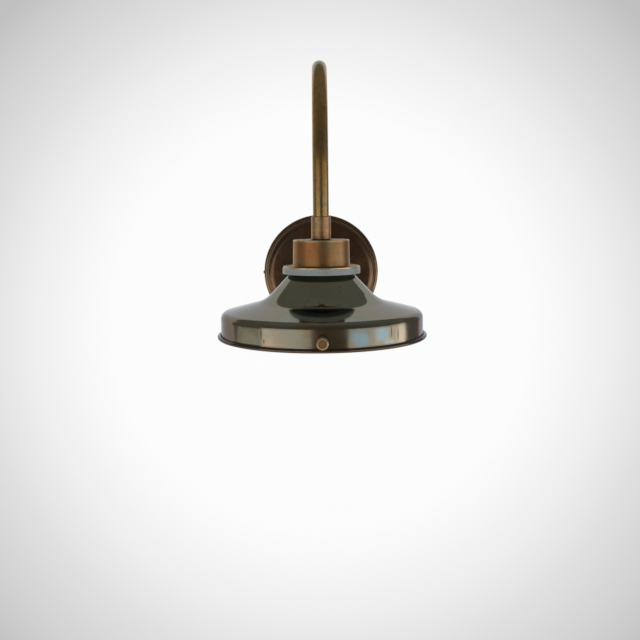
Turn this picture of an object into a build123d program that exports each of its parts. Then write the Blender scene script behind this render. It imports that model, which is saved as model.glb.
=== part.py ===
from build123d import *
import os
from math import cos, hypot, radians, sin

# Gooseneck wall sconce, in millimetres. The origin is the centre of the wall
# plate's back, +Z is up and the lamp hangs out from the wall along -Y.
# "Reach" is a distance from the wall along -Y. "Height" is world Z.

# Clearances
fit_gap = 0.04          # a tube or nipple in its bored socket
pass_gap = 0.15         # a screw, nipple or boss through a plain hole
seat_gap = 0.3          # moving pad off the glass at rest
run_gap = 0.06          # a turning shank or spigot in its bore

# Wall plate
plate_r = 62.5
plate_depth = 17.0
plate_step_in = 3.9     # from the plate's edge in to its raised front disc
plate_flange_depth = 9.0
plate_edge_round = 7.0
plate_flange_round = 3.0
sheet = 1.2             # spun brass

# Mounting strap behind the plate
strap_inset = 2.5       # from the plate's edge in to the strap's end
strap_w = 20.0
strap_t = 1.5
strap_lug = 7.0
strap_bend = 2.7
wall_slot_x = 44.0
wall_slot_len = 16.0
wall_slot_w = 4.5
supply_hole_r = 7.0
side_screw_r = 1.5
side_screw_len = 4.6
side_screw_reach = 4.4
hex_key_r = 0.85

# Arm
tube_d = 13.0
tube_wall = 1.2
arch_r = 90.0
foot_r = 24.0
stub_straight = 2.0
arch_centre_z = 106.0
front_leg = 44.3        # from the arch's centre down to the coupler

# Collar on the plate, with the threaded nipple and nut that clamp it
collar_base_out = 3.0
collar_base_t = 3.0
collar_wall = 2.5
collar_len = 8.0
socket_depth = 6.0
nipple_r = 5.0
nipple_bore_r = 3.5
nut_af = 14.0
nut_t = 3.0
washer_r = 8.5
washer_t = 0.8
washer_teeth = 10
nipple_proud = 1.2
bush_flange_r = 4.8
bush_flange_t = 1.0
bush_neck = 3.2
bush_bore_r = 2.7

# Leads
lead_r = 0.9
lead_pitch_r = 1.5      # the leads lie at this radius inside the tube
lead_bend = 2.6

# Terminal block on the strap
pole_count = 3
pole_pitch = 8.0
block_x = 14.0          # edge of the block nearest the nut
block_len = 16.0
block_base_t = 6.4
block_tower_r = 2.6
block_tower_h = 2.8
clamp_r = 2.1
clamp_bore_r = 1.3
clamp_screw_r = 1.3
block_screw_r = 1.1
block_screw_head_r = 2.0

# Earth screw and ring tag on the strap
earth_x = -24.0
earth_screw_r = 2.0
earth_head_r = 3.8
earth_head_t = 2.4
tag_r = 4.6
tag_t = 0.8
tag_barrel_r = 1.7
tag_barrel_len = 5.0

# Coupler under the arm
coupler_wall = 1.55
coupler_len = 18.9
coupler_socket = 11.7
grub_r = 1.5

# Lamp cap with its brim
cap_top_r = 22.95
cap_foot_r = 23.4
cap_height = 21.5
brim_r = 31.25

# Ring gasket between the brim and the shade
gasket_proud = 0.6      # beyond the brim's edge
gasket_t = 4.8

# Shade. Drops are measured from the top of its neck.
neck_r = 26.3
neck_hole_r = 22.4
knee_r = 50.0
knee_drop = 25.8
skirt_r = 82.7
shoulder_drop = 35.6
rim_drop = 52.0
neck_round = 1.5
flare_round = 50.0
shoulder_round = 3.0
bead_r = 1.55

# Threaded ring that clamps the shade up against the brim
clamp_ring_room = 0.5   # to the edge of the neck's hole
clamp_ring_wall = 3.4
clamp_ring_h = 15.0
clamp_flange_out = 2.2  # beyond the edge of the neck's hole
clamp_flange_t = 2.0
spanner_slot = 3.0

# Lampholder
bracket_w = 12.0
bracket_t = 1.0
bracket_half = 16.0
bracket_drop = 14.6
foot_len = 7.5
holder_r = 8.5
holder_h = 16.0
holder_neck_h = 3.0
ear_half = 14.5
ear_w = 10.0
ear_t = 4.0
ear_screw_x = 11.2
ear_screw_r = 1.5
pin_x = 4.5
pin_r = 0.8
pin_len = 8.0
contact_r = 1.8
contact_wall = 0.7
contact_len = 8.0

# Capsule lamp
capsule_r = 6.5
capsule_len = 28.0
capsule_wall = 1.0
lamp_base_w = 14.0
lamp_base_t = 7.0
lamp_base_h = 7.0

# Glass and its three thumb screws
glass_inset = 9.2       # from the skirt in to the pan's side
glass_wall = 3.5
glass_above_rim = 1.5
glass_corner = 6.0
lip_inset = 4.2         # from the skirt in to the lip's edge
lip_t = 2.8
lip_above_screw = 4.9
screw_above_rim = 7.8
screw_count = 3
screw_r = 2.0
boss_r = 3.0
boss_flange_r = 4.4
boss_flange_t = 0.9
boss_len = 5.2
shank_inner_end = 2.1   # from the pad's face to the end of the shank
under_head_gap = 0.8
under_head_r = 3.3
under_head_t = 1.0
head_r = 4.7
head_t = 5.0
head_ridges = 24
pad_r = 1.8
pad_spigot_r = 0.8
pad_spigot_len = 2.4

# Sizes that follow from the ones above
plate_step_r = plate_r - plate_step_in
strap_half = plate_r - strap_inset
collar_r = tube_d / 2 + collar_wall
collar_base_r = collar_r + collar_base_out
coupler_r = tube_d / 2 + coupler_wall
gasket_r = brim_r + gasket_proud
clamp_ring_r = neck_hole_r - clamp_ring_room
clamp_ring_bore = clamp_ring_r - clamp_ring_wall
clamp_flange_r = neck_hole_r + clamp_flange_out
glass_r = skirt_r - glass_inset
lip_r = skirt_r - lip_inset

# Places worked out from the sizes above
collar_reach = plate_depth + collar_len
foot_reach = collar_reach + stub_straight
rear_leg_y = -(foot_reach + foot_r)
lamp_y = rear_leg_y - 2 * arch_r
coupler_top = arch_centre_z - front_leg
cap_top = coupler_top - coupler_len
tube_end = coupler_top - coupler_socket
brim_top = cap_top - cap_height
neck_z = brim_top - sheet - gasket_t
knee_z = neck_z - knee_drop
shoulder_z = neck_z - shoulder_drop
rim_z = neck_z - rim_drop
screw_z = rim_z + screw_above_rim
lip_z = screw_z + lip_above_screw
bracket_top = cap_top - sheet
washer_top = bracket_top - bracket_t
front_nut_top = washer_top - washer_t
front_nipple_end = front_nut_top - nut_t - nipple_proud
rear_nut_reach = plate_depth - sheet - washer_t
rear_nipple_end = rear_nut_reach - nut_t - nipple_proud
foot_under = bracket_top - bracket_drop
holder_top = foot_under + holder_neck_h
holder_face = holder_top - holder_h
terminal_reach = strap_t + block_base_t - clamp_r - 0.2

# Local frames: +Z runs out from the wall, down the lamp's axis, or out along a thumb screw
ON_WALL = Rot(X=90)
ON_LAMP = Pos(0, lamp_y, 0)


def at_screw(angle):
    """Frame at the lamp's axis with +Z pointing out along one thumb screw."""
    return Pos(0, lamp_y, screw_z) * Rot(Z=angle) * Rot(Y=90)


# General forms

def turned(*outline):
    """A closed outline of (radius, height) points, revolved about Z."""
    face = make_face(Polyline(*outline, close=True))
    return revolve(Plane.XZ * face, Axis.Z)


def spun(points, rounds, wall, side=Side.RIGHT):
    """Sheet of one thickness, revolved about Z; points lie on its outer face."""
    skin = offset(FilletPolyline(*points, radius=rounds), wall, side=side)
    return revolve(Plane.XZ * make_face(skin.edges()), Axis.Z)


def ring(outer, inner, low, high):
    return turned((inner, low), (outer, low), (outer, high), (inner, high))


def rod(radius, low, high):
    return turned((0, low), (radius, low), (radius, high), (0, high))


def chamfered_rod(radius, low, high, edge=0.3):
    return turned((0, low), (radius - edge, low), (radius, low + edge),
                  (radius, high - edge), (radius - edge, high), (0, high))


def hex_nut(low, bore):
    blank = extrude(RegularPolygon(nut_af / 2, 6, major_radius=False), nut_t)
    return Pos(0, 0, low) * blank - rod(bore, low - 1, low + nut_t + 1)


def grub(radius, low, high):
    """Headless screw with a hexagon socket in its outer end."""
    key = extrude(Pos(0, 0, high) * RegularPolygon(hex_key_r, 6), -1.2)
    return chamfered_rod(radius, low, high, 0.2) - key


def slotted_head(radius, low, high):
    slot = Pos(0, 0, high) * Box(2 * radius, radius / 4, (high - low) * 0.8)
    return chamfered_rod(radius, low, high) - slot


def nipple(low, high):
    return turned((nipple_bore_r, low), (nipple_r - 0.4, low), (nipple_r, low + 0.4),
                  (nipple_r, high - 0.4), (nipple_r - 0.4, high), (nipple_bore_r, high))


def cable_bush(end):
    """Lead guard pressed into a nipple's lower end."""
    return turned((bush_bore_r, end - bush_flange_t), (bush_flange_r, end - bush_flange_t),
                  (bush_flange_r, end), (nipple_bore_r - fit_gap, end),
                  (nipple_bore_r - fit_gap, end + bush_neck), (bush_bore_r, end + bush_neck))


# Wall plate and what it hides

def wall_plate():
    outline = [(nipple_r + pass_gap, plate_depth), (plate_step_r, plate_depth),
               (plate_step_r, plate_flange_depth), (plate_r, plate_flange_depth), (plate_r, 0)]
    plate = spun(outline, [plate_edge_round, 0.4, plate_flange_round], sheet)
    hole = rod(side_screw_r + pass_gap, plate_r - 4, plate_r + 1)
    for turn in (90, -90):
        plate -= Pos(0, 0, side_screw_reach) * Rot(Y=turn) * hole
    return ON_WALL * plate


def mounting_strap():
    bar_line = FilletPolyline((-strap_half, strap_lug), (-strap_half, 0), (strap_half, 0),
                              (strap_half, strap_lug), radius=strap_bend)
    bar = make_face(offset(bar_line, strap_t, side=Side.LEFT).edges())
    strap = extrude(Plane.XZ * bar, strap_w / 2, both=True)
    cut = strap_t * 4
    strap -= rod(supply_hole_r, -cut, cut)
    for side in (-1, 1):
        slot = Pos(side * wall_slot_x, 0) * SlotOverall(wall_slot_len, wall_slot_w)
        strap -= extrude(slot, cut, both=True)
        tapped = rod(side_screw_r, strap_half - 4, strap_half + 1)
        strap -= Pos(0, 0, side_screw_reach) * Rot(Y=side * 90) * tapped
    strap -= Pos(earth_x, 0) * rod(earth_screw_r, -cut, cut)
    for y in block_screw_rows():
        strap -= Pos(block_x + block_len / 2, y) * rod(block_screw_r, -cut, cut)
    return ON_WALL * strap


def plate_side_screws():
    outer = plate_r - 0.2
    screw = grub(side_screw_r, outer - side_screw_len, outer)
    return [ON_WALL * Pos(0, 0, side_screw_reach) * Rot(Y=turn) * screw for turn in (90, -90)]


def earth_screw():
    seat = strap_t + tag_t
    shank = rod(earth_screw_r, 0.2, seat)
    return ON_WALL * Pos(earth_x, 0) * (shank + slotted_head(earth_head_r, seat, seat + earth_head_t))


def earth_ring_tag():
    tag = ring(tag_r, earth_screw_r + pass_gap, strap_t, strap_t + tag_t)
    start = tag_r - 1
    tongue = Box(tag_barrel_len + 1, 3, tag_t, align=(Align.MIN, Align.CENTER, Align.MIN))
    barrel = Rot(Y=90) * ring(tag_barrel_r, lead_r, 0, tag_barrel_len)
    tag += Pos(start, 0, strap_t) * tongue
    tag += Pos(start + 1, 0, strap_t + tag_barrel_r) * barrel
    channel = Rot(Y=90) * rod(lead_r, 0, tag_barrel_len)
    tag -= Pos(start + 1, 0, strap_t + tag_barrel_r) * channel
    return ON_WALL * Pos(earth_x, 0) * tag


def pole_rows():
    return [(i - (pole_count - 1) / 2) * pole_pitch for i in range(pole_count)]


def block_screw_rows():
    return [row + pole_pitch / 2 for row in pole_rows()[:-1]]


def clamp_screw_places():
    mid = block_x + block_len / 2
    return [(mid + side * block_len * 0.28, y) for y in pole_rows() for side in (-1, 1)]


def terminal_block():
    body = Pos(block_x + block_len / 2, 0, strap_t) * Box(
        block_len, pole_count * pole_pitch, block_base_t, align=(Align.CENTER, Align.CENTER, Align.MIN))
    top = strap_t + block_base_t
    body = fillet(body.edges().filter_by(Axis.Z), 1.0)
    for x, y in clamp_screw_places():
        body += Pos(x, y) * rod(block_tower_r, top - 0.5, top + block_tower_h)
    for x, y in clamp_screw_places():
        body -= Pos(x, y) * rod(clamp_screw_r + pass_gap, terminal_reach, top + block_tower_h + 1)
    for y in pole_rows():
        body -= Pos(block_x, y, terminal_reach) * Rot(Y=90) * rod(clamp_r + fit_gap, -1, block_len + 1)
    for y in block_screw_rows():
        body -= Pos(block_x + block_len / 2, y) * rod(block_screw_r + pass_gap, 0, top + 1)
    return ON_WALL * body


def terminal_clamps():
    """Brass tubes that hold the lead ends, one for each pole."""
    tube = ring(clamp_r, clamp_bore_r, 1, block_len - 1)
    clamps = []
    for y in pole_rows():
        clamp = Pos(block_x, y, terminal_reach) * Rot(Y=90) * tube
        for x, row in clamp_screw_places():
            if row == y:
                clamp -= Pos(x, y) * rod(clamp_screw_r, terminal_reach, terminal_reach + clamp_r + 1)
        clamps.append(ON_WALL * clamp)
    return clamps


def terminal_screws():
    low = terminal_reach + lead_r
    high = strap_t + block_base_t + block_tower_h - 0.8
    screw = slotted_head(clamp_screw_r, low, high)
    return [ON_WALL * Pos(x, y) * screw for x, y in clamp_screw_places()]


def block_fixing_screws():
    seat = strap_t + block_base_t
    screw = rod(block_screw_r, 0.2, seat) + slotted_head(block_screw_head_r, seat, seat + 1.5)
    return [ON_WALL * Pos(block_x + block_len / 2, y) * screw for y in block_screw_rows()]


# Arm, its two ends and its leads

def arm_collar():
    low = plate_depth
    inner = collar_reach - socket_depth
    return ON_WALL * turned(
        (nipple_r + fit_gap, low), (collar_base_r, low), (collar_base_r, low + collar_base_t - 1),
        (collar_base_r - 1, low + collar_base_t), (collar_r, low + collar_base_t + 0.6),
        (collar_r, collar_reach - 0.6), (collar_r - 0.6, collar_reach),
        (tube_d / 2 + fit_gap, collar_reach), (tube_d / 2 + fit_gap, inner), (nipple_r + fit_gap, inner))


def rear_nipple():
    return ON_WALL * nipple(rear_nipple_end, collar_reach - socket_depth)


def rear_lock_nut():
    return ON_WALL * hex_nut(rear_nut_reach - nut_t, nipple_r + fit_gap)


def rear_tooth_washer():
    low = rear_nut_reach
    washer = ring(washer_r, nipple_r + pass_gap, low, low + washer_t)
    notch = Box(2.4, 1.6, 4 * washer_t)
    for i in range(washer_teeth):
        washer -= Rot(Z=i * 360 / washer_teeth) * Pos(washer_r, 0, low) * notch
    return ON_WALL * washer


def arm_route(across=0, aside=0):
    """Edges from the collar to the coupler; aside moves the route within the arm's plane."""
    bend_mid = sin(radians(45)) * (foot_r + aside)
    leg_y = rear_leg_y - aside
    bend_y = -foot_reach
    centre_y = rear_leg_y - arch_r
    front_y = lamp_y + aside
    bend = ThreePointArc((across, bend_y, -aside), (across, bend_y - bend_mid, foot_r - bend_mid),
                         (across, leg_y, foot_r))
    leg = Line((across, leg_y, foot_r), (across, leg_y, arch_centre_z))
    arch = ThreePointArc((across, leg_y, arch_centre_z), (across, centre_y, arch_centre_z + arch_r - aside),
                         (across, front_y, arch_centre_z))
    return [bend, leg, arch]


def gooseneck_arm():
    start = -(collar_reach - socket_depth)
    stub = Line((0, start, 0), (0, -foot_reach, 0))
    down = Line((0, lamp_y, arch_centre_z), (0, lamp_y, tube_end))
    path = Wire([edge.edge() for edge in [stub, *arm_route(), down]])
    mouth = Plane(origin=(0, start, 0), z_dir=(0, -1, 0))
    skin = mouth * (Circle(tube_d / 2) - Circle(tube_d / 2 - tube_wall))
    return sweep(skin, path=path)


def lead(across, aside, wall_points, lamp_points):
    """One insulated lead, from its terminal through the arm to the lampholder."""
    stub_end = (across, -foot_reach, -aside)
    leg_end = (across, lamp_y + aside, arch_centre_z)
    head = FilletPolyline(*wall_points, stub_end, radius=lead_bend)
    tail = FilletPolyline(leg_end, *lamp_points, radius=lead_bend) if len(lamp_points) > 1 \
        else Line(leg_end, lamp_points[0])
    parts = [*head.edges(), *[edge.edge() for edge in arm_route(across, aside)], *tail.edges()]
    path = Wire(parts)
    start = path.location_at(0)
    return sweep(Plane(start) * Circle(lead_r), path=path)


def core_lead(side, pole):
    """Live or neutral lead: side is +1 or -1 across the arm, pole counts up the block."""
    across = side * lead_pitch_r * cos(radians(30))
    aside = lead_pitch_r / 2
    row = pole_rows()[pole]
    turn = -terminal_reach
    wall_points = [(block_x + block_len * 0.3, turn, row), (block_x - 4, turn, row), (across, turn, -aside)]
    top = front_nipple_end - bush_flange_t
    lamp_points = [(across, lamp_y + aside, top), (side * pin_x, lamp_y, holder_top + 1),
                   (side * pin_x, lamp_y, holder_face + contact_len + 2)]
    return lead(across, aside, wall_points, lamp_points)


def live_lead():
    return core_lead(1, pole_count - 1)


def neutral_lead():
    return core_lead(-1, 0)


def earth_lead():
    aside = -lead_pitch_r
    turn = -(strap_t + tag_barrel_r)
    wall_points = [(earth_x + tag_r + 0.6, turn, 0), (-supply_hole_r, turn, 0), (0, turn, -aside)]
    height = tab_hole_z()
    lamp_points = [(0, lamp_y + aside, height), (0, lamp_y - tab_reach() - washer_t, height)]
    return lead(0, aside, wall_points, lamp_points)


def arm_coupler():
    low, high, edge = cap_top, coupler_top, 0.6
    body = turned((nipple_r + fit_gap, low), (coupler_r - edge, low), (coupler_r, low + edge),
                  (coupler_r, high - edge), (coupler_r - edge, high), (tube_d / 2 + fit_gap, high),
                  (tube_d / 2 + fit_gap, tube_end), (nipple_r + fit_gap, tube_end))
    hole = rod(grub_r, nipple_r, coupler_r + 1)
    body -= Pos(0, 0, grub_z()) * Rot(X=-90) * hole
    return ON_LAMP * body


def grub_z():
    return (cap_top + tube_end) / 2


def coupler_grub_screw():
    screw = grub(grub_r, nipple_r + fit_gap, coupler_r - 0.1)
    return ON_LAMP * Pos(0, 0, grub_z()) * Rot(X=-90) * screw


def front_nipple():
    return ON_LAMP * nipple(front_nipple_end, tube_end)


def front_lock_nut():
    return ON_LAMP * hex_nut(front_nut_top - nut_t, nipple_r + fit_gap)


def tab_reach():
    return washer_r + 2.5


def tab_hole_z():
    return front_nipple_end - bush_flange_t - lead_bend


def earth_tab_washer():
    """Washer with a tongue bent down to take the earth lead."""
    washer = ring(washer_r, nipple_r + pass_gap, front_nut_top, washer_top)
    reach = tab_reach()
    flat = Box(4, reach, washer_t, align=(Align.CENTER, Align.MAX, Align.MIN))
    washer += Pos(0, 0, front_nut_top) * flat - rod(washer_r - 1, front_nut_top - 1, washer_top + 1)
    tab_bottom = tab_hole_z() - 2
    drop = Box(4, washer_t, washer_top - tab_bottom, align=(Align.CENTER, Align.MAX, Align.MIN))
    washer += Pos(0, -reach, tab_bottom) * drop
    washer -= Pos(0, -reach, tab_hole_z()) * Rot(X=90) * rod(lead_r + fit_gap, -2, 2)
    return ON_LAMP * washer


def wall_cable_bush():
    return ON_WALL * cable_bush(rear_nipple_end)


def lamp_cable_bush():
    return ON_LAMP * cable_bush(front_nipple_end)


# Cap, gasket, shade and clamp ring

def lamp_cap():
    outline = [(nipple_r + pass_gap, cap_top), (cap_top_r, cap_top), (cap_foot_r, brim_top),
               (brim_r, brim_top)]
    return ON_LAMP * spun(outline, [1.6, 0.9], sheet)


def neck_gasket():
    low, high, edge = neck_z, brim_top - sheet, 0.4
    return ON_LAMP * turned((neck_hole_r, low), (gasket_r - edge, low), (gasket_r, low + edge),
                            (gasket_r, high - edge), (gasket_r - edge, high), (neck_hole_r, high))


def shade():
    outline = [(neck_hole_r, neck_z), (neck_r, neck_z), (knee_r, knee_z), (skirt_r, shoulder_z),
               (skirt_r, rim_z + bead_r / 2)]
    shell = spun(outline, [neck_round, flare_round, shoulder_round], sheet)
    bead_mid = skirt_r + bead_r
    bead = Pos(bead_mid, rim_z + bead_r) * Circle(bead_r)
    curl = Pos(skirt_r - sheet, rim_z) * Rectangle(
        bead_mid - skirt_r + sheet, bead_r, align=(Align.MIN, Align.MIN))
    curl = fillet(curl.vertices().sort_by(Axis.X)[:2].sort_by(Axis.Y)[:1], 0.8)
    shell += revolve(Plane.XZ * (bead + curl), Axis.Z)
    hole = rod(boss_r + fit_gap, skirt_r - sheet - 2, skirt_r + 2)
    shell = ON_LAMP * shell
    for angle in screw_angles():
        shell -= at_screw(angle) * hole
    return shell


def shade_clamp_ring():
    top = neck_z - sheet
    low = top - clamp_flange_t
    body = turned((clamp_ring_bore, low), (clamp_flange_r, low), (clamp_flange_r, top),
                  (clamp_ring_r, top), (clamp_ring_r, low + clamp_ring_h), (clamp_ring_bore, low + clamp_ring_h))
    slot = Pos(0, 0, low) * Box(2 * clamp_flange_r + 2, spanner_slot, 2)
    return ON_LAMP * (body - slot)


# Lampholder and lamp

def lampholder_bracket():
    """Strip hung from the nipple, with a turned-in foot at each side."""
    inner = bracket_half - foot_len
    line = FilletPolyline((-inner, foot_under + bracket_t), (-bracket_half, foot_under + bracket_t),
                          (-bracket_half, bracket_top), (bracket_half, bracket_top),
                          (bracket_half, foot_under + bracket_t), (inner, foot_under + bracket_t),
                          radius=[0.5, 1.6, 1.6, 0.5])
    strip = make_face(offset(line, bracket_t, side=Side.RIGHT).edges())
    bracket = extrude(Plane.XZ * strip, bracket_w / 2, both=True)
    bracket -= rod(nipple_r + pass_gap, bracket_top - 3, bracket_top + 1)
    for side in (-1, 1):
        bracket -= Pos(side * ear_screw_x, 0) * rod(ear_screw_r, foot_under - 1, foot_under + 3)
    return ON_LAMP * bracket


def lampholder_body():
    """Ceramic block with two contact wells and an ear at each side."""
    ear_top = foot_under
    body = rod(holder_r, holder_face, ear_top) + rod(holder_r - 1, ear_top - 0.5, holder_top)
    ears = Pos(0, 0, ear_top - ear_t) * extrude(SlotOverall(2 * ear_half, ear_w), ear_t)
    body += ears
    for side in (-1, 1):
        well = rod(contact_r + run_gap, holder_face + 1.2, holder_face + contact_len + 2)
        mouth = rod(pin_r + 0.4, holder_face - 1, holder_face + 2)
        lead_hole = rod(lead_r + fit_gap, holder_face + contact_len, holder_top + 1)
        body -= Pos(side * pin_x, 0) * (well + mouth + lead_hole)
        body -= Pos(side * ear_screw_x, 0) * rod(ear_screw_r + pass_gap, ear_top - ear_t - 1, ear_top + 1)
    return ON_LAMP * body


def lampholder_contacts():
    low = holder_face + 1.3
    sleeve = ring(contact_r, contact_r - contact_wall, low, low + contact_len)
    sleeve -= Pos(0, contact_r, low + contact_len / 2) * Box(0.6, contact_r * 1.4, contact_len + 1)
    return [ON_LAMP * Pos(side * pin_x, 0) * sleeve for side in (-1, 1)]


def lampholder_screws():
    seat = foot_under - ear_t
    shank = rod(ear_screw_r, seat, foot_under + bracket_t + 0.5)
    head = Pos(0, 0, seat) * Rot(X=180) * slotted_head(ear_screw_r * 1.8, 0, 1.8)
    return [ON_LAMP * Pos(side * ear_screw_x, 0) * (shank + head) for side in (-1, 1)]


def lamp_envelope():
    """Hollow glass capsule with a domed end."""
    high = holder_face - lamp_base_h + 2
    low = high - capsule_len
    dome = low + capsule_r
    outer = rod(capsule_r, dome, high) + Pos(0, 0, dome) * Sphere(capsule_r)
    inner_r = capsule_r - capsule_wall
    inner = rod(inner_r, dome, high - capsule_wall) + Pos(0, 0, dome) * Sphere(inner_r)
    return ON_LAMP * (outer - inner)


def lamp_base():
    high = holder_face - 0.2
    low = holder_face - lamp_base_h
    block = Pos(0, 0, low) * Box(lamp_base_w, lamp_base_t, high - low,
                                 align=(Align.CENTER, Align.CENTER, Align.MIN))
    block = fillet(block.edges().filter_by(Axis.Z), 1.5)
    for side in (-1, 1):
        block -= Pos(side * pin_x, 0) * rod(pin_r, high - 3, high + 1)
    envelope_room = rod(capsule_r + fit_gap, low - 1, holder_face - lamp_base_h + 2 + fit_gap)
    return ON_LAMP * (block - envelope_room)


def lamp_pins():
    high = holder_face + pin_len
    return [ON_LAMP * Pos(side * pin_x, 0) * chamfered_rod(pin_r, holder_face - 3.2, high)
            for side in (-1, 1)]


# Glass, its gasket and the thumb screws

def shoulder_under(radius):
    """Height of the shade's inner face under the flat of its shoulder."""
    fall = (shoulder_z - knee_z) / (skirt_r - knee_r)
    return knee_z + (radius - knee_r) * fall - sheet * hypot(1, fall)


def glass_lens():
    """Shallow pan of glass, open upward, with the lip that the screws hold."""
    low = rim_z + glass_above_rim
    outline = [(0, low), (glass_r, low), (glass_r, lip_z + lip_t)]
    pan = spun(outline, glass_corner, glass_wall, Side.LEFT)
    return ON_LAMP * (pan + ring(lip_r, glass_r - 1, lip_z, lip_z + lip_t))


def glass_gasket():
    low = lip_z + lip_t
    inner, outer = glass_r + 0.5, lip_r - 0.3
    return ON_LAMP * turned((inner, low), (outer, low), (outer, shoulder_under(outer) - fit_gap),
                            (inner, shoulder_under(inner) - fit_gap))


def screw_angles():
    """Directions of the thumb screws; the first faces away from the wall."""
    return [-90 + i * 360 / screw_count for i in range(screw_count)]


def screw_bosses():
    low = skirt_r - boss_len
    bore = screw_r + run_gap
    boss = turned((bore, low), (boss_r, low), (boss_r, skirt_r), (boss_flange_r, skirt_r),
                  (boss_flange_r, skirt_r + boss_flange_t - 0.3),
                  (boss_flange_r - 0.3, skirt_r + boss_flange_t), (bore, skirt_r + boss_flange_t))
    return [at_screw(angle) * boss for angle in screw_angles()]


def pad_face():
    return glass_r + seat_gap


def thumb_screw(angle):
    """Knurled screw with a dished head and a bored end for its pad."""
    inner = pad_face() + shank_inner_end
    neck = skirt_r + boss_flange_t + under_head_gap
    low = neck + under_head_t
    high = low + head_t
    screw = rod(screw_r, inner, low) + rod(under_head_r, neck, low + 0.5)
    head = turned((0, low), (head_r - 0.5, low), (head_r, low + 0.5), (head_r, high - 0.5),
                  (head_r - 0.5, high), (head_r * 0.62, high), (head_r * 0.55, high - 0.5), (0, high - 0.5))
    groove = Rot(Z=45) * Box(0.5, 0.5, head_t * 2)
    for i in range(head_ridges):
        head -= Rot(Z=i * 360 / head_ridges) * Pos(head_r, 0, low) * groove
    bore_end = pad_face() + shank_inner_end + pad_spigot_len + 0.2
    bore = rod(pad_spigot_r + run_gap, inner - 1, bore_end)
    return at_screw(angle) * (screw + head - bore)


def screw_tip(angle):
    """Soft pad on the screw's end; it stays still while the screw turns in it."""
    face = pad_face()
    back = face + shank_inner_end - seat_gap / 2
    return at_screw(angle) * turned(
        (0, face), (pad_r - 0.4, face), (pad_r, face + 0.4), (pad_r, back),
        (pad_spigot_r, back), (pad_spigot_r, back + pad_spigot_len), (0, back + pad_spigot_len))


# One STEP file for each node

nodes = {
    "wall_plate": wall_plate, "mounting_strap": mounting_strap,
    "plate_side_screws": plate_side_screws, "earth_screw": earth_screw,
    "earth_ring_tag": earth_ring_tag, "terminal_block": terminal_block,
    "terminal_clamps": terminal_clamps, "terminal_screws": terminal_screws,
    "block_fixing_screws": block_fixing_screws, "arm_collar": arm_collar,
    "rear_nipple": rear_nipple, "rear_tooth_washer": rear_tooth_washer,
    "rear_lock_nut": rear_lock_nut, "wall_cable_bush": wall_cable_bush,
    "gooseneck_arm": gooseneck_arm, "live_lead": live_lead,
    "neutral_lead": neutral_lead, "earth_lead": earth_lead, "arm_coupler": arm_coupler,
    "coupler_grub_screw": coupler_grub_screw, "front_nipple": front_nipple,
    "earth_tab_washer": earth_tab_washer, "front_lock_nut": front_lock_nut,
    "lamp_cable_bush": lamp_cable_bush, "lamp_cap": lamp_cap, "neck_gasket": neck_gasket,
    "shade": shade, "shade_clamp_ring": shade_clamp_ring,
    "lampholder_bracket": lampholder_bracket, "lampholder_body": lampholder_body,
    "lampholder_contacts": lampholder_contacts, "lampholder_screws": lampholder_screws,
    "lamp_envelope": lamp_envelope, "lamp_base": lamp_base, "lamp_pins": lamp_pins,
    "glass_lens": glass_lens, "glass_gasket": glass_gasket, "screw_bosses": screw_bosses,
}
places = ["front", "right", "left"]

os.makedirs("parts", exist_ok=True)
for name, make in nodes.items():
    made = make()
    solids = made if isinstance(made, list) else [made]
    export_step(Compound(children=[solid for one in solids for solid in one.solids()]), f"parts/{name}.step")
for place, angle in zip(places, screw_angles()):
    export_step(thumb_screw(angle), f"parts/thumb_screw_{place}.step")
    export_step(screw_tip(angle), f"parts/screw_tip_{place}.step")
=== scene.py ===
import bmesh
import bpy
import math
from mathutils import Matrix, Quaternion, Vector


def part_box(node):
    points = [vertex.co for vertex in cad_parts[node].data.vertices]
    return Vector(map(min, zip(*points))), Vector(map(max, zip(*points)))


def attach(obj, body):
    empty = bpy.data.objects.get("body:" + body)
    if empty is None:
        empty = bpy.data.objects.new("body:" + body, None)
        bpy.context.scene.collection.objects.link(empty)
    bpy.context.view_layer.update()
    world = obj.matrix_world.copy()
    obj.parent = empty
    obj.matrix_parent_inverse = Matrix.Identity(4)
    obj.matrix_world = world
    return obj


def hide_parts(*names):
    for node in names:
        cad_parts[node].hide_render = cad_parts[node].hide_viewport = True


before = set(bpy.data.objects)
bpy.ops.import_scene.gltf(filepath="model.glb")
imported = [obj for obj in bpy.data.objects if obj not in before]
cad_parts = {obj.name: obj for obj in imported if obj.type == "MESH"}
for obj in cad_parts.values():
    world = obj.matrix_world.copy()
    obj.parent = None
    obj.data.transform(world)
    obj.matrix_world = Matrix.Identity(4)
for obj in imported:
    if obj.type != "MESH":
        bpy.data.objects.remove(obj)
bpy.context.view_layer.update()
mm = 0.001

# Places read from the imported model
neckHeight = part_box("shade")[1].z
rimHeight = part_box("shade")[0].z
capLow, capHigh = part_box("lamp_cap")
lampY = (capLow.y + capHigh.y) / 2
onLamp = Matrix.Translation((0, lampY, 0))
onWall = Matrix.Rotation(math.radians(90), 4, "X")      # its Z runs out from the wall
print("frame loaded, lamp axis at", round(lampY, 4))


# Mesh helpers

meshForm = {"mergeReach": 1e-6, "sharpAngle": math.radians(32), "rodSides": 48}
# wear on a turned outline by its bend per metre, and on a copied piece by the angle at its edges
wearForm = {"flatBend": 180, "sharpBend": 880, "reach": 0.9 * mm, "neighbours": 6,
            "copyMost": 0.3, "copyAngle": math.radians(70)}


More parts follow.
